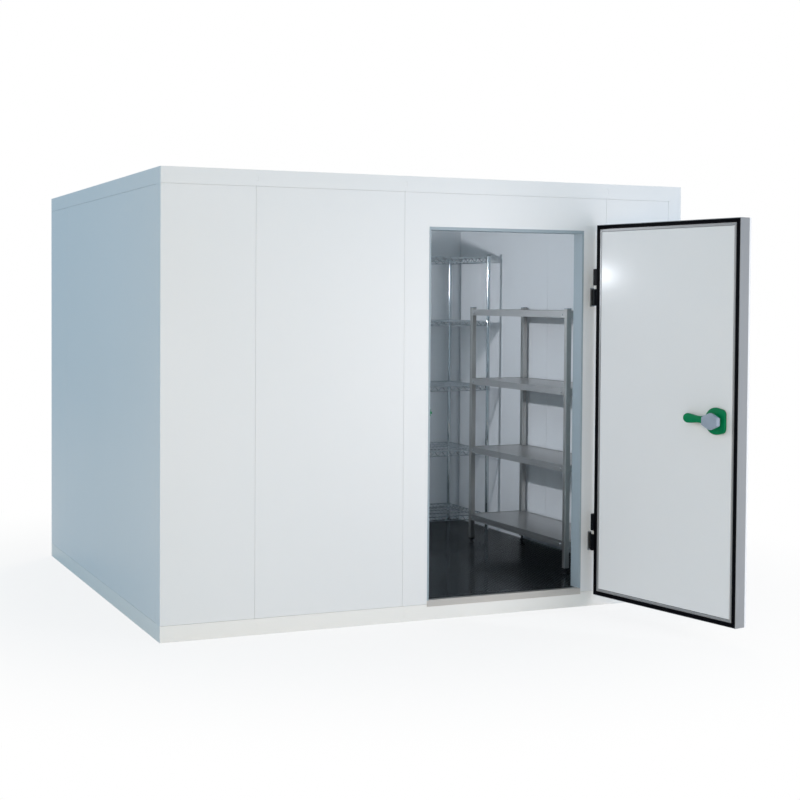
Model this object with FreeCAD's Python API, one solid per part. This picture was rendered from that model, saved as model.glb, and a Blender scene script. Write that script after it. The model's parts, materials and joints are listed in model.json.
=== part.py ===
import FreeCAD, Part
import math
import os

# Walk-in cold room, in millimetres.
# The origin is the centre of the base's underside. The doorway is in the front, at -Y, and +Z is up.

V = FreeCAD.Vector

# Insulated panels, tongued and grooved along their long edges
panel_t = 80.0
panel_narrow = 480.0
panel_middle = 800.0
panel_wide = 1200.0
panel_filler = 400.0
wall_h = 2120.0
seam_w = 1.2
seam_d = 5.0
tongue_w = 30.0
tongue_d = 12.0
tongue_taper = 3.0
tongue_fit = 0.5

# The room, which follows from its panels: each wall has one free end and butts on the next wall
front_widths = [panel_narrow, panel_middle, panel_wide, panel_filler]
side_widths = [panel_narrow, panel_middle, panel_wide]
room_w = sum(front_widths) + panel_t
room_d = sum(side_widths) + panel_t
room_h = wall_h + 2 * panel_t
left = -room_w / 2
front = -room_d / 2

# Floor board, which also runs through the doorway
board_t = 20.0
board_gap = 3.0
floor_z = panel_t + board_t

# Doorway, in the middle of the wide front panel
doorway_w = 920.0
lintel_h = 174.0
jamb_t = 10.0
head_t = 16.0
lining_proud = 1.5
lining_nose = 1.0
inner_lip_w = 22.0
sill_drop = 12.0
sill_lip = 25.0
sill_lip_t = 2.5
doorway_x = left + panel_narrow + panel_middle + panel_wide / 2
doorway_left = doorway_x - doorway_w / 2
doorway_right = doorway_x + doorway_w / 2
doorway_top = panel_t + wall_h - lintel_h
lining_face = front - lining_proud
lining_back = front + panel_t + lining_proud

# Door leaf, drawn closed and then swung open about its hinges
leaf_overlap = 27.5
leaf_sill_overlap = 24.0
leaf_t = 75.0
leaf_gap = 5.0
leaf_open_deg = 101.2
skin_fold = 12.0
profile_wall = 3.0
profile_flange_t = 9.0
profile_chamfer = 1.0
gasket_inset = 3.0
gasket_w = 20.0
gasket_seat = 4.0
gasket_proud = 4.0
gasket_bevel = 2.0
trim_w = 13.0
trim_step_w = 5.0
trim_step = 1.5
tray_groove = 2.0
tray_bevel = 1.5
leaf_bottom = floor_z + sill_lip_t - leaf_sill_overlap
leaf_top = doorway_top + leaf_overlap
leaf_left = doorway_left - leaf_overlap
leaf_right = doorway_right + leaf_overlap
leaf_inner = lining_face - leaf_gap - gasket_proud
leaf_outer = leaf_inner - leaf_t

# Hinges: a plate, a knuckle and a pin on the wall, a nylon bush, and a knuckle on the leaf's edge
hinge_offset = 30.0
hinge_depth = 40.5
hinge_inset = 330.0
wall_knuckle_r = 24.0
leaf_knuckle_r = 21.0
knuckle_h = 88.0
knuckle_bevel = 2.5
bush_h = 20.0
bush_r = 16.0
hinge_plate_t = 5.0
hinge_plate_w = 50.0
hinge_plate_side = 15.5
hinge_plate_over = 6.0
wall_web_side = 6.0
pin_r = 7.0
pin_fit = 0.05
pin_end_gap = 6.0
running_gap = 0.3
axis_x = leaf_right + hinge_offset
axis_y = leaf_outer + hinge_depth
hinge_levels = [leaf_bottom + hinge_inset, leaf_top - hinge_inset]

# Inside release: a base on the leaf, a lever that turns on it, and the lever's hub cap
handle_z = 1070.0
handle_edge = 130.0
base_r = 66.0
base_flat = 60.0
base_corner = 22.0
base_t = 16.0
base_bevel = 3.0
lever_t = 18.0
lever_reach = 190.0
lever_tip_r = 24.0
lever_neck = 90.0
lever_neck_w = 34.0
lever_root_w = 72.0
lever_bevel = 4.0
lever_lift_deg = 2.0
cap_w = 100.0
cap_h = 84.0
cap_t = 26.0
cap_side = 0.46
cap_bevel = 4.0
handle_x = leaf_left + handle_edge

# Outside handle: an upright bow on a long back plate
bow_len = 190.0
bow_clear = 42.0
bow_t = 16.0
bow_w = 24.0
bow_foot = 26.0
bow_bevel = 22.0
bow_round = 3.0
back_plate_w = 56.0
back_plate_len = 250.0
back_plate_t = 4.0

# Striker for the latch, on the left jamb
striker_proud = 9.0
striker_d = 26.0
striker_h = 34.0
striker_bevel = 6.0

# Tube rack by the right wall
tube_w = 30.0
tube_edge = 1.5
tube_rack_d = 400.0
tube_rack_l = 1170.0
tube_rack_front = 368.0
tube_rack_gap = 14.0
tube_shelf_tops = [288.0, 719.0, 1155.0, 1593.0]
tube_post_over = 12.0
beam_h = 38.0
beam_t = 14.0
beam_groove = 2.0
beam_groove_down = 15.0
sheet_t = 2.0
sheet_drop = 3.0
foot_h = 34.0
foot_r = 17.0
foot_neck_r = 8.0
foot_pad_h = 8.0
foot_plug_h = 8.0
seat_gap = 0.3

# Wire rack by the back wall
post_r = 12.5
wire_rack_d = 600.0
wire_rack_l = 1500.0
wire_rack_end = 166.0
wire_rack_gap = 28.0
wire_shelf_tops = [223.0, 655.0, 1085.0, 1515.0, 1936.0]
wire_shelf_h = 36.0
wire_post_over = 20.0
rail_w = 6.0
strut_pitch = 250.0
bearer_count = 3
collar_t = 5.0
collar_flare = 2.0
cross_wires = 5


def box(lo, hi):
    return Part.makeBox(hi[0] - lo[0], hi[1] - lo[1], hi[2] - lo[2], V(*lo))


def cylinder(x, y, z, r, h, direction=V(0, 0, 1)):
    return Part.makeCylinder(r, h, V(x, y, z), direction)


def polygon(points):
    return Part.Face(Part.makePolygon([V(*p) for p in points] + [V(*points[0])]))


def fuse_all(shapes):
    return shapes[0].fuse(shapes[1:]).removeSplitter()


def placed(shape, x, y, z, turn=0.0, tilt=0.0):
    """A copy tilted about X, then turned about Z, then moved."""
    copy = shape.copy()
    copy.rotate(V(0, 0, 0), V(1, 0, 0), tilt)
    copy.rotate(V(0, 0, 0), V(0, 0, 1), turn)
    copy.translate(V(x, y, z))
    return copy


def edges_where(shape, test):
    """The edges whose two ends both meet the test."""
    return [e for e in shape.Edges if all(test(v.Point) for v in e.Vertexes)]


def joint_key(x, length, fit):
    """The tongue at x, or with a fit the groove that takes it."""
    middle = panel_t / 2
    half = tongue_w / 2 + fit
    tip = x + tongue_d + fit
    section = polygon([(x, middle - half, 0), (tip, middle - half + tongue_taper, 0),
                       (tip, middle + half - tongue_taper, 0), (x, middle + half, 0)])
    return section.extrude(V(0, 0, length))


def panel(width, length, start, end, ends_meet):
    """A panel with its width along X, its thickness along Y from its outer skin, and its length along Z.

    Its start and end are "free", "butt", "groove" or "tongue". The core is full size. The skins stop short
    of every edge that meets another panel, which leaves a fine line at each joint: both panels' skins give
    half of it at a tongue, and this panel's skins give it all where its end butts on a whole face.
    """
    short = {"free": 0.0, "butt": seam_w, "groove": seam_w / 2, "tongue": seam_w / 2}
    at_start, at_end = short[start], short[end]
    at_ends = short["butt" if ends_meet else "free"]
    core = box((0, seam_d, 0), (width, panel_t - seam_d, length))
    skins = box((at_start, 0, at_ends), (width - at_end, panel_t, length - at_ends))
    shape = core.fuse(skins)
    if start == "groove":
        shape = shape.cut(joint_key(0, length, tongue_fit))
    if end == "tongue":
        shape = shape.fuse(joint_key(width, length, 0))
    return shape.removeSplitter()


def panel_row(widths, length, last_end, ends_meet):
    """Panels side by side from a free end, each with its tongue in the next one's groove."""
    row = []
    x = 0.0
    for number, width in enumerate(widths, 1):
        start = "free" if number == 1 else "groove"
        end = last_end if number == len(widths) else "tongue"
        row.append(placed(panel(width, length, start, end, ends_meet), x, 0, 0))
        x += width
    return row


def make_floor_and_ceiling():
    """Panels that run from front to back, jointed in line with the front wall's joints."""
    widths = front_widths[:-1] + [panel_filler + panel_t]
    nodes = {}
    for number, shape in enumerate(panel_row(widths, room_d, "free", False), 1):
        nodes[f"floor_panel_{number}"] = placed(shape, left, -front, 0, tilt=90)
        nodes[f"ceiling_panel_{number}"] = placed(shape, left, front, room_h, tilt=-90)
    return nodes


def make_walls():
    """Four walls of one kind, set round the floor like a pinwheel."""
    starts = {"front": (front_widths, left, front, 0), "right": (side_widths, -left, front, 90),
              "back": (front_widths, -left, -front, 180), "left": (side_widths, left, -front, 270)}
    nodes = {}
    for side, (widths, x, y, turn) in starts.items():
        for number, shape in enumerate(panel_row(widths, wall_h, "butt", True), 1):
            nodes[f"{side}_panel_{number}"] = placed(shape, x, y, panel_t, turn)
    nodes["front_panel_narrow"] = nodes.pop("front_panel_1")
    nodes["front_panel_middle"] = nodes.pop("front_panel_2")
    nodes["front_panel_filler"] = nodes.pop("front_panel_4")
    nodes.update(cut_doorway(nodes.pop("front_panel_3")))
    return nodes


def cut_doorway(shape):
    """The wide panel as its three parts: beside the doorway on each side, and over it."""
    back = front + panel_t
    beside_left = box((left, front, 0), (doorway_left, back, room_h))
    beside_right = box((doorway_right, front, 0), (-left, back, room_h))
    over = box((doorway_left, front, doorway_top), (doorway_right, back, room_h))
    return {"door_panel_left": shape.common(beside_left), "door_panel_right": shape.common(beside_right),
            "door_panel_head": shape.common(over)}


def make_floor_board():
    inset = panel_t + board_gap
    room = box((left + inset, front + inset, panel_t), (-left - inset, -front - inset, floor_z))
    threshold = box((doorway_left, front, panel_t), (doorway_right, front + inset, floor_z))
    return {"floor_deck": room.fuse(threshold).removeSplitter()}


def lining(width, thickness):
    """A lining's section: the opening's side is at 0, and a lip laps the wall inside the room."""
    nose = lining_nose
    return polygon([(0, lining_face + nose, 0), (nose, lining_face, 0), (thickness, lining_face, 0),
                    (thickness, front + panel_t, 0), (width, front + panel_t, 0), (width, lining_back, 0),
                    (0, lining_back, 0)])


def make_doorway():
    """Linings on the cut edges of the panel, a threshold angle, and the striker."""
    height = doorway_top - floor_z
    jamb = lining(jamb_t + inner_lip_w, jamb_t).extrude(V(0, 0, height))
    jamb_right = placed(jamb, doorway_right - jamb_t, 0, floor_z)
    jamb_left = jamb_right.mirror(V(doorway_x, 0, 0), V(1, 0, 0))
    head = lining(head_t + inner_lip_w, head_t).extrude(V(0, 0, doorway_w - 2 * jamb_t))
    head.rotate(V(0, 0, 0), V(0, 1, 0), -90)
    head.translate(V(doorway_right - jamb_t, 0, doorway_top - head_t))
    apron = box((doorway_left, lining_face, panel_t - sill_drop), (doorway_right, front, floor_z))
    lip = box((doorway_left + jamb_t, lining_face, floor_z),
              (doorway_right - jamb_t, front + sill_lip, floor_z + sill_lip_t))
    return {"door_jamb_left": jamb_left, "door_jamb_right": jamb_right, "door_head_lining": head,
            "door_sill": apron.fuse(lip).removeSplitter(), "latch_striker": make_striker()}


def make_striker():
    x, y = doorway_left + jamb_t, front + seam_d
    tip = x + striker_proud
    section = polygon([(x, y, 0), (tip, y + striker_bevel, 0), (tip, y + striker_d - striker_bevel, 0),
                       (x, y + striker_d, 0)])
    return placed(section.extrude(V(0, 0, striker_h)), 0, 0, handle_z - striker_h / 2)


def swept_round_leaf(section):
    """A section of (inward from the leaf's edge, outward from its outer face), swept with mitred corners."""
    middle = (leaf_left + leaf_right) / 2
    y = leaf_outer
    corners = [(middle, y, leaf_bottom), (leaf_right, y, leaf_bottom), (leaf_right, y, leaf_top),
               (leaf_left, y, leaf_top), (leaf_left, y, leaf_bottom), (middle, y, leaf_bottom)]
    spine = Part.makePolygon([V(*c) for c in corners])
    profile = [V(middle, y + out, leaf_bottom + inward) for inward, out in section]
    return spine.makePipeShell([Part.makePolygon(profile + profile[:1])], True, False, 1)


def make_leaf():
    """The leaf closed: a slab with white skins, an edge profile and the gasket in the profile's channel."""
    flange = leaf_t - profile_flange_t
    seat = leaf_t - gasket_seat
    channel = gasket_inset + gasket_w
    trim = channel + trim_w
    profile = swept_round_leaf([
        (0, skin_fold), (0, leaf_t - profile_chamfer), (profile_chamfer, leaf_t), (gasket_inset, leaf_t),
        (gasket_inset, seat), (channel, seat), (channel, leaf_t - trim_step),
        (channel + trim_step_w, leaf_t - trim_step), (channel + trim_step_w, leaf_t),
        (trim - profile_chamfer, leaf_t),
        (trim, leaf_t - profile_chamfer), (trim, flange), (profile_wall, flange), (profile_wall, skin_fold)])
    top = leaf_t + gasket_proud
    middle = gasket_inset + gasket_w / 2
    gasket = swept_round_leaf([
        (gasket_inset, seat), (gasket_inset, top - gasket_bevel), (gasket_inset + gasket_bevel, top),
        (middle - gasket_bevel, top), (middle, top - gasket_bevel), (middle + gasket_bevel, top),
        (channel - gasket_bevel, top), (channel, top - gasket_bevel), (channel, seat)])
    outer_tray = leaf_slab(0, 0, skin_fold)
    core = leaf_slab(profile_wall, skin_fold, flange)
    inner_tray = leaf_slab(trim + tray_groove, flange, leaf_t)
    rim = edges_where(inner_tray, lambda p: abs(p.y - leaf_inner) < 0.01)
    inner_tray = inner_tray.makeChamfer(tray_bevel, rim)
    return {"leaf_panel": fuse_all([outer_tray, core, inner_tray]), "leaf_edge_profile": profile,
            "leaf_gasket": gasket}


def leaf_slab(inset, out0, out1):
    return box((leaf_left + inset, leaf_outer + out0, leaf_bottom + inset),
               (leaf_right - inset, leaf_outer + out1, leaf_top - inset))


def knuckle(r, web_low, web_high, z):
    """A round knuckle about the hinge axis, carried by a web between two corners given as (x, y)."""
    barrel = cylinder(axis_x, axis_y, z, r, knuckle_h)
    web = box((web_low[0], web_low[1], z), (web_high[0], web_high[1], z + knuckle_h))
    return barrel.fuse(web).removeSplitter()


def make_hinges():
    plates, wall_knuckles, bushes, leaf_knuckles = [], [], [], []
    for level in hinge_levels:
        low = level - bush_h / 2 - knuckle_h
        bush_z = low + knuckle_h
        high = bush_z + bush_h
        plate_x = axis_x - hinge_plate_side
        plates.append(box((plate_x, front - hinge_plate_t, low - hinge_plate_over),
                          (plate_x + hinge_plate_w, front, bush_z + hinge_plate_over)))
        lower = knuckle(wall_knuckle_r, (axis_x - wall_web_side, axis_y),
                        (axis_x + wall_knuckle_r, front - hinge_plate_t), low)
        lower = lower.makeChamfer(knuckle_bevel, edges_where(lower, lambda p: abs(p.z - low) < 0.01))
        pin = cylinder(axis_x, axis_y, low, pin_r, 2 * knuckle_h + bush_h - pin_end_gap)
        wall_knuckles.append(lower.fuse(pin).removeSplitter())
        bush = cylinder(axis_x, axis_y, bush_z, bush_r, bush_h - running_gap)
        bushes.append(bush.cut(cylinder(axis_x, axis_y, bush_z, pin_r, bush_h)))
        upper = knuckle(leaf_knuckle_r, (leaf_right, axis_y - leaf_knuckle_r),
                        (axis_x, axis_y + leaf_knuckle_r), high)
        crown = high + knuckle_h
        upper = upper.makeChamfer(knuckle_bevel, edges_where(upper, lambda p: abs(p.z - crown) < 0.01))
        bore = cylinder(axis_x, axis_y, high, pin_r + pin_fit, knuckle_h - pin_end_gap + running_gap)
        leaf_knuckles.append(upper.cut(bore))
    fixed = {"hinge_plates": Part.makeCompound(plates), "hinge_wall_blocks": Part.makeCompound(wall_knuckles),
             "hinge_bushes": Part.makeCompound(bushes)}
    return fixed, {"hinge_leaf_blocks": Part.makeCompound(leaf_knuckles)}


def on_leaf(shape, out):
    """Takes a shape drawn flat, +X towards the hinges and +Y out of the inner face, to its place."""
    return placed(shape, handle_x, leaf_inner + out, handle_z)


def make_release_base():
    """Round towards the hinges, and flat with cut corners towards the free edge."""
    disc = cylinder(0, 0, 0, base_r, base_t, V(0, 1, 0))
    corner = base_flat - base_corner
    reach = 2 * base_r
    keep = polygon([(-base_flat, 0, -base_r + base_corner), (-corner, 0, -base_r), (reach, 0, -base_r),
                    (reach, 0, base_r), (-corner, 0, base_r), (-base_flat, 0, base_r - base_corner)])
    shape = disc.common(keep.extrude(V(0, base_t, 0)))
    rim = edges_where(shape, lambda p: abs(p.y - base_t) < 0.01)
    return on_leaf(shape.makeChamfer(base_bevel, rim), 0)


def make_release_lever():
    """A flat lever, flared at its root, slim at its neck and rounded at its tip, over a round root."""
    tip = lever_reach - lever_tip_r
    above = [V(0, 0, lever_root_w / 2), V(lever_neck, 0, lever_neck_w / 2), V(tip, 0, lever_tip_r)]
    upper = Part.BSplineCurve()
    upper.interpolate(above, InitialTangent=V(1, 0, 0), FinalTangent=V(1, 0, 0))
    below = [V(p.x, 0, -p.z) for p in reversed(above)]
    lower = Part.BSplineCurve()
    lower.interpolate(below, InitialTangent=V(-1, 0, 0), FinalTangent=V(-1, 0, 0))
    nose = Part.Arc(above[-1], V(lever_reach, 0, 0), below[0])
    root_line = Part.makeLine(below[-1], above[0])
    outline = Part.Wire([upper.toShape(), nose.toShape(), lower.toShape(), root_line])
    arm = Part.Face(outline).extrude(V(0, lever_t, 0))
    rim = edges_where(arm, lambda p: abs(p.y - lever_t) < 0.01 and p.x > 1)
    arm = arm.makeChamfer(lever_bevel, rim)
    root = cylinder(0, 0, 0, cap_h / 2 - cap_bevel, lever_t, V(0, 1, 0))
    lever = arm.fuse(root).removeSplitter()
    lever.rotate(V(0, 0, 0), V(0, 1, 0), -lever_lift_deg)
    return on_leaf(lever, base_t + running_gap)


def make_release_cap():
    """A six-sided cap over the lever's root, with its points up and down."""
    half_w, half_h = cap_w / 2, cap_h / 2
    side = half_h * cap_side
    points = [(-half_w, 0, -side), (0, 0, -half_h), (half_w, 0, -side), (half_w, 0, side), (0, 0, half_h),
              (-half_w, 0, side)]
    shape = polygon(points).extrude(V(0, cap_t, 0))
    rim = edges_where(shape, lambda p: abs(p.y - cap_t) < 0.01)
    return on_leaf(shape.makeChamfer(cap_bevel, rim), base_t + running_gap + lever_t)


def make_outside_handle():
    """Drawn upright about its middle, with +Y out of the leaf's outer face, and turned to face outwards."""
    half = bow_len / 2
    rise = back_plate_t + bow_clear + bow_t
    under = back_plate_t + bow_clear
    inner = half - bow_foot
    bend = bow_bevel - bow_foot + bow_t
    upper_half = [(inner, back_plate_t), (inner, under - bend), (inner - bend, under)]
    upper_half_outside = [(half - bow_bevel, rise), (half, rise - bow_bevel), (half, back_plate_t)]
    inside = [(-z, y) for z, y in upper_half] + upper_half[::-1]
    outside = upper_half_outside[::-1] + [(-z, y) for z, y in upper_half_outside]
    face = polygon([(-bow_w / 2, y, z) for z, y in inside + outside])
    bow = face.extrude(V(bow_w, 0, 0))
    ends = edges_where(bow, lambda p: p.y > rise - bow_bevel - 0.01)
    bow = bow.makeFillet(bow_round, [e for e in ends if e.Vertexes[0].X == e.Vertexes[1].X])
    plate_half = back_plate_len / 2 - back_plate_w / 2
    plate = fuse_all([box((-back_plate_w / 2, 0, -plate_half), (back_plate_w / 2, back_plate_t, plate_half)),
                      cylinder(0, 0, plate_half, back_plate_w / 2, back_plate_t, V(0, 1, 0)),
                      cylinder(0, 0, -plate_half, back_plate_w / 2, back_plate_t, V(0, 1, 0))])
    return placed(plate.fuse(bow).removeSplitter(), handle_x, leaf_outer, handle_z, turn=180)


def swing(shape):
    """The shape with the door open as far as it stands."""
    turned = shape.copy()
    turned.rotate(V(axis_x, axis_y, 0), V(0, 0, 1), leaf_open_deg)
    return turned


def rack_corners(x0, y0, x1, y1, inset):
    return [(x, y) for x in (x0 + inset, x1 - inset) for y in (y0 + inset, y1 - inset)]


def make_tube_rack():
    """Four square posts on levelling feet, and shelves of sheet in a frame of beams between the posts."""
    x1 = -left - panel_t - tube_rack_gap
    x0 = x1 - tube_rack_d
    y0 = front + tube_rack_front
    y1 = y0 + tube_rack_l
    half = tube_w / 2
    post_low = floor_z + foot_h
    post_high = tube_shelf_tops[-1] + tube_post_over
    corners = rack_corners(x0, y0, x1, y1, half)
    posts, feet, shelves = [], [], []
    for x, y in corners:
        post = box((x - half, y - half, post_low), (x + half, y + half, post_high))
        posts.append(post.makeChamfer(tube_edge, [e for e in post.Edges if e.BoundBox.ZLength > foot_h]))
        feet.append(placed(levelling_foot(), x, y, floor_z))
    for top in tube_shelf_tops:
        low = top - beam_h
        groove_z = top - beam_groove_down
        frame = box((x0, y0, low), (x1, y1, top))
        hollow = inset_box(x0, y0, x1, y1, beam_t, low, top)
        line = box((x0, y0, groove_z - beam_groove), (x1, y1, groove_z))
        line = line.cut(inset_box(x0, y0, x1, y1, beam_groove, groove_z - beam_groove, groove_z))
        sheet = inset_box(x0, y0, x1, y1, beam_t, top - sheet_drop - sheet_t, top - sheet_drop)
        reach = half + seat_gap
        notches = [box((x - reach, y - reach, low), (x + reach, y + reach, top)) for x, y in corners]
        shelves.append(frame.cut([hollow, line]).fuse(sheet).cut(notches).removeSplitter())
    return {"tube_rack_posts": Part.makeCompound(posts), "tube_rack_feet": Part.makeCompound(feet),
            "tube_rack_shelves": Part.makeCompound(shelves)}


def inset_box(x0, y0, x1, y1, inset, z0, z1):
    return box((x0 + inset, y0 + inset, z0), (x1 - inset, y1 - inset, z1))


def levelling_foot():
    """A turned foot with a flared pad and a slim neck, under the square plug that closes the post."""
    shoulder = foot_h - foot_plug_h
    half = [(0, 0), (foot_r, 0), (foot_r, foot_pad_h / 2), (foot_neck_r, foot_pad_h), (foot_neck_r, shoulder),
            (0, shoulder)]
    turned = polygon([(r, 0, z) for r, z in half]).revolve(V(0, 0, 0), V(0, 0, 1), 360)
    plug = box((-tube_w / 2, -tube_w / 2, shoulder), (tube_w / 2, tube_w / 2, foot_h))
    return turned.fuse(plug)


def make_wire_rack():
    """Four round posts, and shelves of wire held by a collar at each post."""
    x1 = -left - wire_rack_end
    x0 = x1 - wire_rack_l
    y1 = -front - panel_t - wire_rack_gap
    y0 = y1 - wire_rack_d
    corners = rack_corners(x0, y0, x1, y1, post_r + collar_t)
    post_high = wire_shelf_tops[-1] + wire_post_over
    posts = [cylinder(x, y, floor_z, post_r, post_high - floor_z) for x, y in corners]
    shelf = wire_shelf()
    levels = [top - wire_shelf_h for top in wire_shelf_tops]
    shelves = [placed(shelf, (x0 + x1) / 2, (y0 + y1) / 2, level) for level in levels]
    return {"wire_rack_posts": Part.makeCompound(posts), "wire_rack_shelves": Part.makeCompound(shelves)}


def wire_shelf():
    """Two rails round the shelf, struts between them, bearers and cross wires, and four collars."""
    inset = post_r + collar_t
    half_l, half_d = wire_rack_l / 2 - inset, wire_rack_d / 2 - inset
    high = wire_shelf_h - rail_w
    bars = []
    for z in (0.0, high):
        for y in (-half_d, half_d):
            bars.append(bar((-half_l, y, z), (half_l, y, z)))
        for x in (-half_l, half_l):
            bars.append(bar((x, -half_d, z), (x, half_d, z)))
    along = evenly(2 * half_l, strut_pitch)
    across = evenly(2 * half_d, strut_pitch)
    for y in (-half_d, half_d):
        bars += [upright(x - half_l, y, high) for x in along]
    for x in (-half_l, half_l):
        bars += [upright(x, y - half_d, high) for y in across]
    for number in range(1, bearer_count + 1):
        y = -half_d + 2 * half_d * number / (bearer_count + 1)
        bars.append(bar((-half_l, y, high), (half_l, y, high)))
    for number in range(1, cross_wires + 1):
        x = -half_l + 2 * half_l * number / (cross_wires + 1)
        bars.append(bar((x, -half_d, high), (x, half_d, high)))
    corners = rack_corners(-half_l, -half_d, half_l, half_d, 0)
    foot_of_collar = post_r + collar_t
    sleeve = Part.makeLoft([octagon(foot_of_collar, 0), octagon(foot_of_collar - collar_flare, wire_shelf_h)],
                           True, True)
    bore = Part.Face(octagon(post_r + seat_gap, 0)).extrude(V(0, 0, wire_shelf_h))
    collars = [placed(sleeve, x, y, 0) for x, y in corners]
    bores = [placed(bore, x, y, 0) for x, y in corners]
    return bars[0].fuse(bars[1:] + collars).cut(bores).removeSplitter()


def octagon(half_across, z):
    """Eight sides with flats towards the rails, each the given distance from the middle."""
    r = half_across / math.cos(math.pi / 8)
    turns = [math.pi * (2 * side + 1) / 8 for side in range(9)]
    return Part.makePolygon([V(r * math.cos(turn), r * math.sin(turn), z) for turn in turns])


def evenly(length, pitch):
    """Places along a length, at about the given pitch and clear of its ends."""
    count = max(1, round(length / pitch) - 1)
    return [length * number / (count + 1) for number in range(1, count + 1)]


def bar(start, end):
    """A square bar along X or Y, with its lower side at the given height."""
    half = rail_w / 2
    grow_x = half if start[0] == end[0] else 0
    grow_y = half if start[1] == end[1] else 0
    low = (start[0] - grow_x, start[1] - grow_y, start[2])
    return box(low, (end[0] + grow_x, end[1] + grow_y, start[2] + rail_w))


def upright(x, y, high):
    half = rail_w / 2
    return box((x - half, y - half, 0), (x + half, y + half, high + rail_w))


def main():
    nodes = {}
    nodes.update(make_floor_and_ceiling())
    nodes.update(make_walls())
    nodes.update(make_floor_board())
    nodes.update(make_doorway())
    fixed_hinges, moving = make_hinges()
    nodes.update(fixed_hinges)
    moving.update(make_leaf())
    moving["release_base"] = make_release_base()
    moving["release_lever"] = make_release_lever()
    moving["release_hub"] = make_release_cap()
    moving["outside_handle"] = make_outside_handle()
    nodes.update({name: swing(shape) for name, shape in moving.items()})
    nodes.update(make_tube_rack())
    nodes.update(make_wire_rack())
    os.makedirs("parts", exist_ok=True)
    for name, shape in nodes.items():
        if not shape.isValid():
            raise ValueError(name + " is not a valid solid")
        shape.exportStep(os.path.join("parts", name + ".step"))
        size = shape.BoundBox
        sides = " ".join(f"{side:8.1f}" for side in (size.XLength, size.YLength, size.ZLength))
        print(f"{name:20s} {len(shape.Solids):2d} solid(s) {sides}")
    print(len(nodes), "nodes")


main()
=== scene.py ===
# %% [markdown]
# A walk-in cold room is a large white box of insulated panels with one heavy door. Seen from outside
# it is nearly all flat steel skin, so the looks live in small things: the fine dark lines between the
# panels, the seal round the leaf, the release lever, and the chromed racks that show through the doorway.
#
# The imported model is loaded first. It already has every panel, hinge and rack at its real place, and
# this script only dresses it.

import json
import math

import bmesh
import bpy
from mathutils import Matrix, Vector


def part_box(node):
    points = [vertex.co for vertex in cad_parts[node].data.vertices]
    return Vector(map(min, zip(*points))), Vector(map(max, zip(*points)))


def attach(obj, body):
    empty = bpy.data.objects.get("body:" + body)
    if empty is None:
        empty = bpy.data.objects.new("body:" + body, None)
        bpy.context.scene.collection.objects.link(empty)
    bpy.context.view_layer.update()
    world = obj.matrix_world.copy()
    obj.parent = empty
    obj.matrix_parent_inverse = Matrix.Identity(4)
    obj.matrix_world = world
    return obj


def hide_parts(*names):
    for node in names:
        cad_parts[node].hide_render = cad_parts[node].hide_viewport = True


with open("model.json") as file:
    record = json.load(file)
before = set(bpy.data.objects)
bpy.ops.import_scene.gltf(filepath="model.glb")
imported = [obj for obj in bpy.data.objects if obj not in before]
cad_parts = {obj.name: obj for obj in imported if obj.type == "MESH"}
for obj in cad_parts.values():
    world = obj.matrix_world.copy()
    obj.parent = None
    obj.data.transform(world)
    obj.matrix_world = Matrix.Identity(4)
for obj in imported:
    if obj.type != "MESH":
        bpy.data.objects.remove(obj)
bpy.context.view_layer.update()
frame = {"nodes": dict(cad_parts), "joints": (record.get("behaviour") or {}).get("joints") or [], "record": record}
nodes = frame["nodes"]
scene = bpy.context.scene

# %% [markdown]
# The camera stands at eye height, about 7 m in front of the room and left of its corner. Upright edges
# stay nearly parallel in a picture of a building when the lens is shifted instead of tilted. A plain
# tilted camera would make them lean, so the shift is used here as well.

# %% Camera
camera_place = Vector((-3.3596, -8.0079, 1.6481))
camera_turn = math.radians(22.594)
camera_tilt = math.radians(1.7406)
camera_roll = math.radians(0.3163)
camera_data = bpy.data.cameras.new("camera")
camera_data.sensor_width = 36.0
camera_data.lens = 65.609
camera_data.shift_x = 0.07644
camera_data.shift_y = -0.06964
camera = bpy.data.objects.new("camera", camera_data)
aim = Matrix.Rotation(-camera_turn, 4, "Z") @ Matrix.Rotation(math.pi / 2 - camera_tilt, 4, "X")
camera.matrix_world = Matrix.Translation(camera_place) @ aim @ Matrix.Rotation(camera_roll, 4, "Z")
scene.collection.objects.link(camera)
scene.camera = camera
scene.view_settings.view_transform = "Standard"
print("camera at", [round(x, 2) for x in camera_place], "with a lens of", round(camera_data.lens, 1), "mm")

# %% [markdown]
# Studio light for a white object has to be soft and even, or the white clips. Two wide lamps light the
# front. The one on the right is close, so the front grows brighter towards the doorway. The one on the
# left is warm and also reaches the leaf, but gloss doesn't show it, or the chrome would look like
# brass. The left side gets mostly the cool sky. A third wide lamp, kept out of gloss as well, warms the
# back and the roof, which the picture doesn't show. A small lamp hangs inside, high up by the left wall.
# It is hard, so the racks throw crisp shadows on the wall beside them, and the satin leaf shows it as
# a soft bright spot.

# %% Lights
def area_lamp(name, place, target, size, power, tint):
    data = bpy.data.lights.new(name, "AREA")
    data.shape = "SQUARE"
    data.size = size
    data.energy = power
    data.color = tint
    lamp = bpy.data.objects.new(name, data)
    place = Vector(place)
    facing = (Vector(target) - place).to_track_quat("-Z", "Y").to_matrix().to_4x4()
    lamp.matrix_world = Matrix.Translation(place) @ facing
    lamp.visible_camera = False
    scene.collection.objects.link(lamp)
    return lamp


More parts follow.
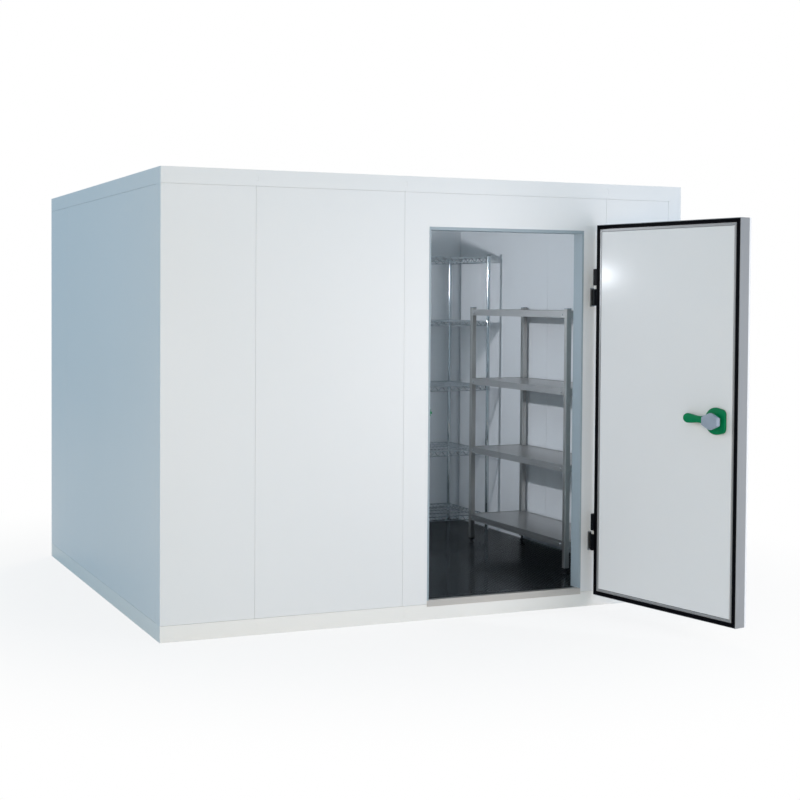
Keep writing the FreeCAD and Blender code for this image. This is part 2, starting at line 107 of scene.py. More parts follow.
key_lamp = area_lamp("key_lamp", (2.5, -5.6, 1.35), (0.2, -1.3, 1.1), 2.0, 70.0, (1.0, 0.94, 0.95))
fill_lamp = area_lamp("fill_lamp", (-3.6, -7.0, 1.6), (-0.6, -1.0, 1.0), 3.0, 122.0, (1.0, 0.70, 0.38))
fill_lamp.visible_glossy = False
rear_lamp = area_lamp("rear_lamp", (6.0, 8.0, 7.0), (0.0, 0.0, 1.0), 4.0, 620.0, (1.0, 0.74, 0.50))
rear_lamp.visible_glossy = False
room_lamp = area_lamp("room_lamp", (-1.29, 0.12, 1.83), (1.4, -0.2, 1.2), 0.05, 27.0, (0.84, 0.87, 0.93))
print("lamps:", key_lamp.name, fill_lamp.name, rear_lamp.name, room_lamp.name)

# %% [markdown]
# The background is plain white, but it mustn't pour light on the object. A Light Path node tells the
# kinds of rays apart: what the camera sees, directly or through something clear, is white at strength
# 1, and the light that reaches the surfaces comes from a dimmer blue sky.

# %% World
def white_for_camera(tree):
    """A factor that is 1 for camera and transmission rays, and 0 for the rest."""
    path = tree.nodes.new("ShaderNodeLightPath")
    either = tree.nodes.new("ShaderNodeMath")
    either.operation = "MAXIMUM"
    tree.links.new(path.outputs["Is Camera Ray"], either.inputs[0])
    tree.links.new(path.outputs["Is Transmission Ray"], either.inputs[1])
    return either.outputs[0]


sky_tint = (0.56, 0.81, 1.0, 1.0)
sky_strength = 0.61
world = bpy.data.worlds.new("studio")
world.use_nodes = True
scene.world = world
sky = world.node_tree.nodes["Background"]
sky.inputs["Color"].default_value = sky_tint
sky.inputs["Strength"].default_value = sky_strength
backdrop = world.node_tree.nodes.new("ShaderNodeBackground")
backdrop.inputs["Color"].default_value = (1.0, 1.0, 1.0, 1.0)
chooser = world.node_tree.nodes.new("ShaderNodeMixShader")
world.node_tree.links.new(white_for_camera(world.node_tree), chooser.inputs[0])
world.node_tree.links.new(sky.outputs[0], chooser.inputs[1])
world.node_tree.links.new(backdrop.outputs[0], chooser.inputs[2])
world.node_tree.links.new(chooser.outputs[0], world.node_tree.nodes["World Output"].inputs["Surface"])
print("sky", sky_tint[:3], "at strength", sky_strength)

# %% [markdown]
# The floor of the studio is a wide pale disc just under the object. To look as white as the backdrop
# and still keep the object's soft shadow, its matt surface is mixed with plain white, and the mix
# turns into pure white further out, so that no horizon line shows.

# %% Studio floor
def mesh_object(name, mesh):
    item = bpy.data.objects.new(name, mesh)
    scene.collection.objects.link(item)
    return item


floor_radius = 40.0
floor_drop = 0.001
shadow_reach = (1.6, 3.6)
shadow_share = 0.18

shape = bmesh.new()
bmesh.ops.create_circle(shape, cap_ends=True, segments=64, radius=floor_radius)
bmesh.ops.translate(shape, verts=shape.verts, vec=(0.0, 0.0, -floor_drop))
floor_mesh = bpy.data.meshes.new("studio_floor")
shape.to_mesh(floor_mesh)
shape.free()
studio_floor = mesh_object("studio_floor", floor_mesh)

pale = bpy.data.materials.new("studio_floor")
pale.use_nodes = True
tree = pale.node_tree
tree.nodes.clear()
matt = tree.nodes.new("ShaderNodeBsdfDiffuse")
matt.inputs["Color"].default_value = (0.9, 0.9, 0.9, 1.0)
white = tree.nodes.new("ShaderNodeEmission")
place = tree.nodes.new("ShaderNodeTexCoord")
distance = tree.nodes.new("ShaderNodeVectorMath")
distance.operation = "LENGTH"
fade = tree.nodes.new("ShaderNodeMapRange")
fade.interpolation_type = "SMOOTHSTEP"
fade.inputs["From Min"].default_value, fade.inputs["From Max"].default_value = shadow_reach
fade.inputs["To Min"].default_value = 1.0 - shadow_share
shown = tree.nodes.new("ShaderNodeMath")
shown.operation = "MULTIPLY"
mix = tree.nodes.new("ShaderNodeMixShader")
surface = tree.nodes.new("ShaderNodeOutputMaterial")
tree.links.new(place.outputs["Object"], distance.inputs[0])
tree.links.new(distance.outputs["Value"], fade.inputs["Value"])
tree.links.new(fade.outputs["Result"], shown.inputs[0])
tree.links.new(white_for_camera(tree), shown.inputs[1])
tree.links.new(shown.outputs[0], mix.inputs[0])
tree.links.new(matt.outputs[0], mix.inputs[1])
tree.links.new(white.outputs[0], mix.inputs[2])
tree.links.new(mix.outputs[0], surface.inputs["Surface"])
floor_mesh.materials.append(pale)
print("studio floor", 2 * floor_radius, "m across")

# %% [markdown]
# Every finish below is made from the same three ingredients. A noise moves the colour a little, a
# second one moves the roughness, and a fine one raises the surface as bump. One helper builds them,
# so that a finish is a short list of numbers. The noises read Object coordinates, which are metres
# here, so a scale of 300 means grains about 3 mm wide. A stretch squeezes the grain along one axis
# into the long lines of brushed metal. What is the same all over, such as metalness, is set straight
# on the shader.

# %% A helper for finishes
def finish(name, dark, light, roughness, tone_scale=2.0, grain_scale=300.0, grain_height=0.00005,
           stretch=(1.0, 1.0, 1.0), metal=0.0, spread=0.05, **shader_values):
    material = bpy.data.materials.new(name)
    material.use_nodes = True
    tree = material.node_tree
    shader = tree.nodes["Principled BSDF"]
    shader.inputs["Metallic"].default_value = metal
    for label, value in shader_values.items():
        shader.inputs[label.replace("_", " ")].default_value = value
    place = tree.nodes.new("ShaderNodeTexCoord")
    stretched = tree.nodes.new("ShaderNodeMapping")
    stretched.inputs["Scale"].default_value = stretch
    tree.links.new(place.outputs["Object"], stretched.inputs["Vector"])

    def noise(scale, detail):
        texture = tree.nodes.new("ShaderNodeTexNoise")
        texture.inputs["Scale"].default_value = scale
        texture.inputs["Detail"].default_value = detail
        tree.links.new(stretched.outputs["Vector"], texture.inputs["Vector"])
        return texture.outputs["Fac"]

    colour = tree.nodes.new("ShaderNodeMix")
    colour.data_type = "RGBA"
    colour.inputs[6].default_value = (*dark, 1.0)
    colour.inputs[7].default_value = (*light, 1.0)
    tree.links.new(noise(tone_scale, 3.0), colour.inputs[0])
    tree.links.new(colour.outputs[2], shader.inputs["Base Color"])
    gloss = tree.nodes.new("ShaderNodeMapRange")
    gloss.inputs["To Min"].default_value = roughness - spread
    gloss.inputs["To Max"].default_value = roughness + spread
    grain = noise(grain_scale, 2.0)
    tree.links.new(grain, gloss.inputs["Value"])
    tree.links.new(gloss.outputs["Result"], shader.inputs["Roughness"])
    bump = tree.nodes.new("ShaderNodeBump")
    bump.inputs["Distance"].default_value = grain_height
    tree.links.new(grain, bump.inputs["Height"])
    tree.links.new(bump.outputs["Normal"], shader.inputs["Normal"])
    return material


# %% [markdown]
# The panels are steel sheet with a white baked lacquer. Close up it has a faint orange peel, and from
# afar the white drifts a little from panel to panel. The metal pieces are satin aluminium, brushed
# stainless steel and bright chrome, and the rest is rubber and moulded plastic.

# %% Finishes
lacquer = finish("white_lacquer", (0.80, 0.81, 0.82), (0.84, 0.85, 0.87), 0.36, tone_scale=0.7,
                 grain_scale=420.0, grain_height=0.00004)
# painted light: the floor panels' edge is lighter and warmer, in place of light bounced up from the white ground
ground_bounce_lacquer = finish("ground_bounce_lacquer", (0.87, 0.86, 0.84), (0.91, 0.90, 0.88), 0.36, tone_scale=0.7,
                      grain_scale=420.0, grain_height=0.00004)
leaf_lacquer = finish("leaf_lacquer", (0.79, 0.79, 0.80), (0.83, 0.83, 0.84), 0.16, tone_scale=1.1,
                      grain_scale=420.0, grain_height=0.00004, spread=0.04, Specular_IOR_Level=0.03)
satin_frame = finish("satin_frame", (0.30, 0.37, 0.42), (0.35, 0.42, 0.47), 0.38, tone_scale=3.0,
                     stretch=(1.0, 1.0, 0.05), grain_scale=600.0, spread=0.08)
satin_edge = finish("satin_edge", (0.30, 0.30, 0.31), (0.34, 0.34, 0.35), 0.4, tone_scale=3.0,
                    stretch=(1.0, 1.0, 0.05), grain_scale=600.0, spread=0.08, metal=0.2)
seal_rubber = finish("seal_rubber", (0.001, 0.001, 0.002), (0.003, 0.003, 0.005), 0.55, tone_scale=14.0,
                     grain_scale=500.0, spread=0.1, Specular_IOR_Level=0.04)
board_resin = finish("board_resin", (0.001, 0.001, 0.002), (0.003, 0.003, 0.004), 0.10, tone_scale=5.0,
                     grain_scale=160.0, grain_height=0.0001, spread=0.04, Specular_IOR_Level=0.10)
worn_resin = finish("worn_resin", (0.006, 0.007, 0.008), (0.018, 0.020, 0.022), 0.22, tone_scale=9.0,
                    grain_scale=900.0, grain_height=0.00005, spread=0.1, Specular_IOR_Level=0.35)
sill_steel = finish("sill_steel", (0.58, 0.53, 0.48), (0.68, 0.63, 0.58), 0.34, tone_scale=6.0,
                    stretch=(0.04, 1.0, 1.0), grain_scale=700.0, spread=0.12, metal=0.9)
hinge_satin = finish("hinge_satin", (0.42, 0.44, 0.46), (0.50, 0.52, 0.54), 0.35, tone_scale=20.0, metal=0.8)
hinge_black = finish("hinge_black", (0.002, 0.002, 0.004), (0.005, 0.006, 0.008), 0.5, tone_scale=30.0,
                     grain_scale=900.0, spread=0.08, Specular_IOR_Level=0.08)
nylon = finish("nylon", (0.62, 0.62, 0.60), (0.70, 0.70, 0.68), 0.5, tone_scale=30.0)
green_plastic = finish("green_plastic", (0.0, 0.18, 0.065), (0.0, 0.22, 0.085), 0.4, tone_scale=25.0,
                       grain_scale=1200.0, grain_height=0.00003, Specular_IOR_Level=0.1)
grey_plastic = finish("grey_plastic", (0.29, 0.34, 0.42), (0.33, 0.38, 0.46), 0.42, tone_scale=25.0,
                      grain_scale=1200.0, grain_height=0.00003, Specular_IOR_Level=0.3)
dark_lacquer = finish("dark_lacquer", (0.16, 0.17, 0.18), (0.21, 0.22, 0.23), 0.4, tone_scale=15.0,
                      grain_scale=900.0)
post_steel = finish("post_steel", (0.44, 0.43, 0.41), (0.58, 0.57, 0.55), 0.34, tone_scale=9.0,
                    stretch=(1.0, 1.0, 0.03), grain_scale=900.0, spread=0.1, metal=1.0)
shelf_steel = finish("shelf_steel", (0.48, 0.47, 0.46), (0.60, 0.59, 0.58), 0.34, tone_scale=9.0,
                     stretch=(1.0, 0.03, 1.0), grain_scale=900.0, spread=0.1, metal=1.0)
foot_plastic = finish("foot_plastic", (0.010, 0.010, 0.011), (0.022, 0.022, 0.024), 0.42, tone_scale=40.0)
chrome = finish("chrome", (0.50, 0.53, 0.55), (0.62, 0.65, 0.67), 0.1, tone_scale=25.0, metal=1.0,
                grain_scale=700.0, grain_height=0.00002, spread=0.05)
bright_steel = finish("bright_steel", (0.60, 0.60, 0.60), (0.70, 0.70, 0.70), 0.24, tone_scale=60.0,
                      metal=1.0)
print("finishes from", lacquer.name, "to", bright_steel.name)

# %% [markdown]
# Inside the room the skins get a darker, bluer colour than outside. This is painted shade: it stands
# in for the deeper, cooler shade in the room. A panel is one mesh with both its skins, so a second
# material would need its faces sorted. The place of a point tells them apart as well: three Compare
# nodes ask whether it lies within the room along x, y and z, give or take a millimetre, and where all
# three say yes, the colour turns to the painted shade.

# %% Painted shade on the skin inside the room
# painted shade: a darker, bluer white for the inner skins, in place of the room's deeper shade
room_shade_colour = (0.63, 0.74, 0.77, 1.0)
skin_reach = 0.001
room_low, room_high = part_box("floor_deck")
room_low.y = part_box("front_panel_middle")[1].y
room_high.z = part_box("ceiling_panel_1")[0].z


def paint_shade_inside(material, colour):
    """Paints shade on a finish: a darker colour where the surface lies in the room, from floor to ceiling."""
    tree = material.node_tree
    shader = tree.nodes["Principled BSDF"]
    outside = shader.inputs["Base Color"].links[0].from_socket
    place = tree.nodes.new("ShaderNodeTexCoord")
    split = tree.nodes.new("ShaderNodeSeparateXYZ")
    tree.links.new(place.outputs["Object"], split.inputs[0])
    inside = 1.0
    for axis in range(3):
        near = tree.nodes.new("ShaderNodeMath")
        near.operation = "COMPARE"
        tree.links.new(split.outputs[axis], near.inputs[0])
        near.inputs[1].default_value = (room_low[axis] + room_high[axis]) / 2
        near.inputs[2].default_value = (room_high[axis] - room_low[axis]) / 2 + skin_reach
        both = tree.nodes.new("ShaderNodeMath")
        both.operation = "MULTIPLY"
        both.inputs[1].default_value = 1.0
        tree.links.new(near.outputs[0], both.inputs[0])
        if axis:
            tree.links.new(inside, both.inputs[1])
        inside = both.outputs[0]
    mix = tree.nodes.new("ShaderNodeMix")
    mix.data_type = "RGBA"
    mix.inputs[7].default_value = colour
    tree.links.new(inside, mix.inputs[0])
    tree.links.new(outside, mix.inputs[6])
    tree.links.new(mix.outputs[2], shader.inputs["Base Color"])


# the inner skins of the white lacquer take the painted shade
paint_shade_inside(lacquer, room_shade_colour)
print("inner skin from", [round(x, 3) for x in room_low], "to", [round(x, 3) for x in room_high])

# %% [markdown]
# The record names a material slot for each imported node, so a table from slot to finish dresses nearly
# all of them. A few nodes differ from the others in their slot, such as the leaf, which is smoother
# than the walls, and the floor panels, whose edge along the foot of the front is lighter and warmer:
# that is painted bounce light from the white ground. A second table, asked first, has them.

# %% Finishes on the imported nodes
finish_of_slot = {
    "panel_white": lacquer, "floor_surface": board_resin, "frame_grey": satin_frame, "sill_steel": sill_steel,
    "gasket_black": seal_rubber, "hinge_grey": hinge_satin, "hinge_black": hinge_black, "hinge_nylon": nylon,
    "release_green": green_plastic, "release_grey": grey_plastic, "handle_grey": dark_lacquer,
    "rack_steel": shelf_steel, "foot_black": foot_plastic, "wire_chrome": chrome,
}
finish_of_node = {"leaf_panel": leaf_lacquer, "leaf_edge_profile": satin_edge, "tube_rack_posts": post_steel}
# the floor panels take the painted bounce light
finish_of_node.update({name: ground_bounce_lacquer for name in nodes if name.startswith("floor_panel")})
for part in frame["record"]["subparts"]:
    name = part["node"]
    material = finish_of_node.get(name, finish_of_slot[part["material_slot"]])
    for material_slot in nodes[name].material_slots:
        material_slot.material = material
print("finishes:", len(finish_of_slot), "slots on", len(nodes), "nodes")

# %% [markdown]
# Many small things on this object are the same thing again and again: wires, ridges, bands, screws.
# Geometry Nodes suit them, because one tree holds the rule and its named inputs hold the sizes. The
# first helpers open a tree and add a node to it. The last one runs a tree on a base mesh and keeps the
# result as a plain mesh, so that no modifier is left when the piece joins its body.

# %% Helpers for Geometry Nodes
def new_tree(name, inputs):
    """A tree with Geometry in and out and the named inputs. Returns it with its two end nodes."""
    tree = bpy.data.node_groups.new(name, "GeometryNodeTree")
    tree.interface.new_socket("Geometry", in_out="INPUT", socket_type="NodeSocketGeometry")
    tree.interface.new_socket("Geometry", in_out="OUTPUT", socket_type="NodeSocketGeometry")
    for label, kind in inputs.items():
        tree.interface.new_socket(label, in_out="INPUT", socket_type="NodeSocket" + kind)
    return tree, tree.nodes.new("NodeGroupInput"), tree.nodes.new("NodeGroupOutput")


def add(tree, kind, inputs=None, **settings):
    """A node with its settings. Each input is a value, or another socket to link from."""
    node = tree.nodes.new(kind)
    for key, value in settings.items():
        setattr(node, key, value)
    for label, value in (inputs or {}).items():
        if isinstance(value, bpy.types.NodeSocket):
            tree.links.new(value, node.inputs[label])
        else:
            node.inputs[label].default_value = value
    return node


def calculate(tree, operation, first, second):
    return add(tree, "ShaderNodeMath", {0: first, 1: second}, operation=operation).outputs[0]


def vector(tree, x=0.0, y=0.0, z=0.0):
    return add(tree, "ShaderNodeCombineXYZ", {"X": x, "Y": y, "Z": z}).outputs[0]


def join(tree, sockets):
    node = tree.nodes.new("GeometryNodeJoinGeometry")
    for socket in sockets:
        tree.links.new(socket, node.inputs[0])
    return node.outputs[0]


def close_tree(tree, geometry, source, end):
    """Ends every tree: real copies instead of instances, and the piece's material."""
    real = add(tree, "GeometryNodeRealizeInstances", {"Geometry": geometry})
    painted = add(tree, "GeometryNodeSetMaterial",
                  {"Geometry": real.outputs[0], "Material": source.outputs["Material"]})
    tree.links.new(painted.outputs[0], end.inputs[0])


def settle(piece, body, crease=35.0):
    """Smooth faces with sharp creases, then the piece joins its body."""
    piece.data.shade_smooth()
    piece.data.set_sharp_from_angle(angle=math.radians(crease))
    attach(piece, body)
    triangles = sum(len(face.vertices) - 2 for face in piece.data.polygons)
    print(f"{piece.name}: {triangles} triangles on {body}")
    return piece


def grow(name, base, tree, values, body):
    """Runs a tree on a base mesh, keeps the result as a plain mesh and settles it."""
    piece = mesh_object(name, base)
    modifier = piece.modifiers.new("grow", "NODES")
    modifier.node_group = tree
    for socket in tree.interface.items_tree:
        if socket.in_out == "INPUT" and socket.name in values:
            modifier[socket.identifier] = values[socket.name]
    evaluated = piece.evaluated_get(bpy.context.evaluated_depsgraph_get())
    result = bpy.data.meshes.new_from_object(evaluated)
    piece.modifiers.remove(modifier)
    piece.data = result
    return settle(piece, body)


def points_mesh(name, points, facing=None):
    """A mesh of loose points, with the way that each faces kept as an attribute."""
    mesh = bpy.data.meshes.new(name)
    mesh.from_pydata(points, [], [])
    if facing:
        attribute = mesh.attributes.new("facing", "FLOAT_VECTOR", "POINT")
        attribute.data.foreach_set("vector", [number for way in facing for number in way])
    return mesh


# %% [markdown]
# The floor inside is a dark resin-faced board. A wire mesh was pressed on it when it was made, and left
# fine raised lines against slipping, which cross each other at 45 degrees to the walls. They could be
# bump, but the board is seen at a low angle, where only real ridges break up what it reflects. Each
# line is one loose edge, cut off at the border, and the tree sweeps a low oval profile along it.

# %% Raised lines of the floor board
line_pitch = 0.020
line_width = 0.005
line_height = 0.0010
line_sides = 8
board_margin = 0.02

tread_tree, source, end = new_tree("tread", {"Half Width": "Float", "Height": "Float", "Sides": "Int",
                                             "Material": "Material"})
tread_lines = add(tread_tree, "GeometryNodeMeshToCurve", {"Mesh": source.outputs["Geometry"]})
ring = add(tread_tree, "GeometryNodeCurvePrimitiveCircle",
           {"Resolution": source.outputs["Sides"], "Radius": 1.0})
oval_size = vector(tread_tree, x=source.outputs["Half Width"], y=source.outputs["Height"], z=1.0)
oval = add(tread_tree, "GeometryNodeTransform", {"Geometry": ring.outputs[0], "Scale": oval_size})
ridges = add(tread_tree, "GeometryNodeCurveToMesh",
             {"Curve": tread_lines.outputs[0], "Profile Curve": oval.outputs[0], "Fill Caps": True})
close_tree(tread_tree, ridges.outputs[0], source, end)


def crossed_lines(name, low, high, z):
    """Loose edges at 45 degrees, both ways, over a rectangle and cut off at its border."""
    points = []
    step = line_pitch * math.sqrt(2)
    for slope in (1, -1):
        near, far = sorted((slope * low[1], slope * high[1]))
        first, last = low[0] - far, high[0] - near
        for number in range(1, int((last - first) / step)):
            shift = first + number * step
            for x in (max(low[0], shift + near), min(high[0], shift + far)):
                points.append((x, slope * (x - shift), z))
    mesh = bpy.data.meshes.new(name)
    mesh.from_pydata(points, [(number, number + 1) for number in range(0, len(points), 2)], [])
    return mesh


def lay_tread(name, low, high, z):
    """Crossed ridges over a rectangle, a little in from its border."""
    low = (low[0] + board_margin, low[1] + board_margin)
    high = (high[0] - board_margin, high[1] - board_margin)
    values = {"Half Width": line_width / 2, "Height": line_height, "Sides": line_sides,
              "Material": worn_resin}
    return grow(name, crossed_lines(name, low, high, z), tread_tree, values, "room")


board_low, board_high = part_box("floor_deck")
wall_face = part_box("front_panel_middle")[1].y
sill_low, sill_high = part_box("door_sill")
tread = lay_tread("floor_tread", (board_low.x, wall_face), board_high, board_high.z)
lay_tread("threshold_tread", (sill_low.x, sill_high.y - board_margin / 2),
          (sill_high.x, wall_face + board_margin), board_high.z)
print("tread from", round(min(v.co.z for v in tread.data.vertices) - board_high.z, 5), "to",
      round(max(v.co.z for v in tread.data.vertices) - board_high.z, 5), "m about the board's face")

# %% [markdown]
# Wire shelves have a frame of two round rails, a wire bent up and down between the rails, and a deck
# of thin wires laid across. A conical collar at each corner grips the post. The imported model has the
# rails and a few of the wires, as square bars. Here one shelf is built by the rule and then put at
# each level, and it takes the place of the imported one.

# %% Wire shelves
rail_r = 0.003
deck_wire_r = 0.0016
snake_r = 0.0022
deck_pitch = 0.0255
snake_pitch = 0.052
bearer_count = 3
bearer_share = 0.25
wire_seat = 0.8
rail_sides = 8
wire_sides = 6
post_inset = 0.0175
post_r = 0.0125
collar_r = (0.0172, 0.0148)
collar_sides = 20


def bundle_levels(node, gap=0.08):
    """The lowest and highest z of each shelf in a node, found where its points leave a gap."""
    heights = sorted({round(point.co.z, 4) for point in nodes[node].data.vertices})
    bands = [[heights[0], heights[0]]]
    for height in heights[1:]:
        if height - bands[-1][1] > gap:
            bands.append([height, height])
        bands[-1][1] = height
    return bands


shelf_tree, source, end = new_tree("wire_shelf", {
    "Length": "Float", "Depth": "Float", "Height": "Float", "Rail Radius": "Float", "Wire Radius": "Float",
    "Snake Radius": "Float", "Deck Wires": "Int", "Long Bends": "Int", "Short Bends": "Int",
    "Collar Foot": "Float", "Collar Top": "Float", "Material": "Material"})
length, depth, height = (source.outputs[label] for label in ("Length", "Depth", "Height"))
half_length = calculate(shelf_tree, "MULTIPLY", length, 0.5)
half_depth = calculate(shelf_tree, "MULTIPLY", depth, 0.5)
minus_length = calculate(shelf_tree, "MULTIPLY", length, -0.5)
minus_depth = calculate(shelf_tree, "MULTIPLY", depth, -0.5)


def rod(tree, curve, radius, sides):
    """A curve turned into a round rod with closed ends."""
    ring = add(tree, "GeometryNodeCurvePrimitiveCircle", {"Resolution": sides, "Radius": radius})
    solid = add(tree, "GeometryNodeCurveToMesh",
                {"Curve": curve, "Profile Curve": ring.outputs[0], "Fill Caps": True})
    return solid.outputs[0]


def straight(tree, start, finish_point):
    return add(tree, "GeometryNodeCurvePrimitiveLine", {"Start": start, "End": finish_point}).outputs[0]


def even_line(tree, count, start, finish_point):
    """A line of points at even steps between two points."""
    line = add(tree, "GeometryNodeMeshLine",
               {"Count": count, "Start Location": start, "Offset": finish_point}, mode="END_POINTS")
    return line.outputs[0]


def row(tree, count, start, finish_point, thing):
    """Copies of a thing at even steps between two points."""
    line = even_line(tree, count, start, finish_point)
    return add(tree, "GeometryNodeInstanceOnPoints", {"Points": line, "Instance": thing}).outputs[0]


def snake(tree, count, start, finish_point, lift, radius):
    """A wire bent up and down: every other point of a line is lifted."""
    line = even_line(tree, count, start, finish_point)
    odd_point = calculate(tree, "MODULO", add(tree, "GeometryNodeInputIndex").outputs[0], 2.0)
    rise = vector(tree, z=calculate(tree, "MULTIPLY", odd_point, lift))
    lifted = add(tree, "GeometryNodeSetPosition", {"Geometry": line, "Offset": rise})
    curve = add(tree, "GeometryNodeMeshToCurve", {"Mesh": lifted.outputs[0]})
    return rod(tree, curve.outputs[0], radius, wire_sides)


def moved(tree, geometry, **place):
    return add(tree, "GeometryNodeTransform",
               {"Geometry": geometry, "Translation": vector(tree, **place)}).outputs[0]


frame_curve = add(shelf_tree, "GeometryNodeCurvePrimitiveQuadrilateral",
                  {"Width": length, "Height": depth}).outputs[0]
rail = rod(shelf_tree, frame_curve, source.outputs["Rail Radius"], rail_sides)
bearer = rod(shelf_tree, straight(shelf_tree, vector(shelf_tree, x=minus_length),
                                  vector(shelf_tree, x=half_length)),
             source.outputs["Rail Radius"], rail_sides)
wire = rod(shelf_tree, straight(shelf_tree, vector(shelf_tree, y=minus_depth),
                                vector(shelf_tree, y=half_depth)),
           source.outputs["Wire Radius"], wire_sides)
inner_depth = calculate(shelf_tree, "MULTIPLY", depth, bearer_share)
minus_inner = calculate(shelf_tree, "MULTIPLY", depth, -bearer_share)
bearers = row(shelf_tree, bearer_count, vector(shelf_tree, y=minus_inner, z=height),
              vector(shelf_tree, y=inner_depth, z=height), bearer)
wire_lift = calculate(shelf_tree, "MULTIPLY", source.outputs["Wire Radius"], wire_seat)
deck_z = calculate(shelf_tree, "ADD", height, wire_lift)
deck = row(shelf_tree, source.outputs["Deck Wires"], vector(shelf_tree, x=minus_length, z=deck_z),
           vector(shelf_tree, x=half_length, z=deck_z), wire)
long_snake = snake(shelf_tree, source.outputs["Long Bends"], vector(shelf_tree, x=minus_length),
                   vector(shelf_tree, x=half_length), height, source.outputs["Snake Radius"])
short_snake = snake(shelf_tree, source.outputs["Short Bends"], vector(shelf_tree, y=minus_depth),
                    vector(shelf_tree, y=half_depth), height, source.outputs["Snake Radius"])
sleeve = add(shelf_tree, "GeometryNodeMeshCone",
             {"Vertices": collar_sides, "Radius Top": source.outputs["Collar Top"],
              "Radius Bottom": source.outputs["Collar Foot"], "Depth": height}).outputs["Mesh"]
corners = add(shelf_tree, "GeometryNodeMeshGrid", {"Size X": length, "Size Y": depth,
                                                   "Vertices X": 2, "Vertices Y": 2}).outputs["Mesh"]
collars = add(shelf_tree, "GeometryNodeInstanceOnPoints", {"Points": corners, "Instance": sleeve}).outputs[0]
one_shelf = join(shelf_tree, [
    rail, moved(shelf_tree, rail, z=height), bearers, deck, collars,
    moved(shelf_tree, long_snake, y=half_depth), moved(shelf_tree, long_snake, y=minus_depth),
    moved(shelf_tree, short_snake, x=half_length), moved(shelf_tree, short_snake, x=minus_length)])
shelves = add(shelf_tree, "GeometryNodeInstanceOnPoints",
              {"Points": source.outputs["Geometry"], "Instance": one_shelf})
close_tree(shelf_tree, shelves.outputs[0], source, end)

rack_low, rack_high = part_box("wire_rack_shelves")
rack_size = rack_high - rack_low
rack_middle = (rack_low + rack_high) / 2
wire_levels = bundle_levels("wire_rack_shelves")
shelf_length = rack_size.x - 2 * post_inset
shelf_depth = rack_size.y - 2 * post_inset
shelf_height = wire_levels[0][1] - wire_levels[0][0] - 2 * rail_r
level_points = [(rack_middle.x, rack_middle.y, low + rail_r) for low, high in wire_levels]
wire_shelves = grow("wire_shelves", points_mesh("wire_shelves", level_points), shelf_tree, {
    "Length": shelf_length, "Depth": shelf_depth, "Height": shelf_height, "Rail Radius": rail_r,
    "Wire Radius": deck_wire_r, "Snake Radius": snake_r, "Deck Wires": round(shelf_length / deck_pitch),
    "Long Bends": 2 * round(shelf_length / snake_pitch) + 1,
    "Short Bends": 2 * round(shelf_depth / snake_pitch) + 1,
    "Collar Foot": collar_r[0], "Collar Top": collar_r[1], "Material": chrome}, "room")
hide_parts("wire_rack_shelves")

# %% [markdown]
# The posts of such a rack have a fine groove every 25 mm, so that a shelf can be clipped at any
# height. Each post is a slightly thinner core, and wide bands on it leave the grooves open between
# them. A domed cap closes its top.

# %% Grooved posts
groove_pitch = 0.0254
groove_width = 0.0022
groove_depth = 0.0009
post_sides = 24

post_tree, source, end = new_tree("grooved_post", {
    "Height": "Float", "Radius": "Float", "Groove Depth": "Float", "Groove Width": "Float",
    "Pitch": "Float", "Material": "Material"})
core_radius = calculate(post_tree, "SUBTRACT", source.outputs["Radius"], source.outputs["Groove Depth"])
band_height = calculate(post_tree, "SUBTRACT", source.outputs["Pitch"], source.outputs["Groove Width"])
band_count = calculate(post_tree, "FLOOR", calculate(post_tree, "DIVIDE", source.outputs["Height"],
                                                     source.outputs["Pitch"]), 0.0)
core = add(post_tree, "GeometryNodeMeshCylinder", {"Vertices": post_sides, "Radius": core_radius,
                                                   "Depth": source.outputs["Height"]}).outputs["Mesh"]
band = add(post_tree, "GeometryNodeMeshCylinder", {"Vertices": post_sides, "Radius": source.outputs["Radius"],
                                                   "Depth": band_height}).outputs["Mesh"]
first_band = calculate(post_tree, "MULTIPLY", source.outputs["Pitch"], 0.5)
band_line = add(post_tree, "GeometryNodeMeshLine",
                {"Count": band_count, "Start Location": vector(post_tree, z=first_band),
                 "Offset": vector(post_tree, z=source.outputs["Pitch"])})
bands = add(post_tree, "GeometryNodeInstanceOnPoints", {"Points": band_line.outputs[0], "Instance": band})
half_height = calculate(post_tree, "MULTIPLY", source.outputs["Height"], 0.5)
one_post = join(post_tree, [bands.outputs[0], moved(post_tree, core, z=half_height)])
posts = add(post_tree, "GeometryNodeInstanceOnPoints",
            {"Points": source.outputs["Geometry"], "Instance": one_post})
close_tree(post_tree, posts.outputs[0], source, end)

post_low, post_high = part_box("wire_rack_posts")
post_places = [(x, y, post_low.z) for x in (post_low.x + post_r, post_high.x - post_r)
               for y in (post_low.y + post_r, post_high.y - post_r)]
wire_posts = grow("wire_posts", points_mesh("wire_posts", post_places), post_tree, {
    "Height": post_high.z - post_low.z - post_r / 2, "Radius": post_r, "Groove Depth": groove_depth,
    "Groove Width": groove_width, "Pitch": groove_pitch, "Material": chrome}, "room")
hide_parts("wire_rack_posts")

# %% [markdown]
# Screws, bolts and caps are turned parts: a half outline spun round an axis. One helper makes such a
# master, and one tree sets copies of it where they belong, each facing the way that its point says.

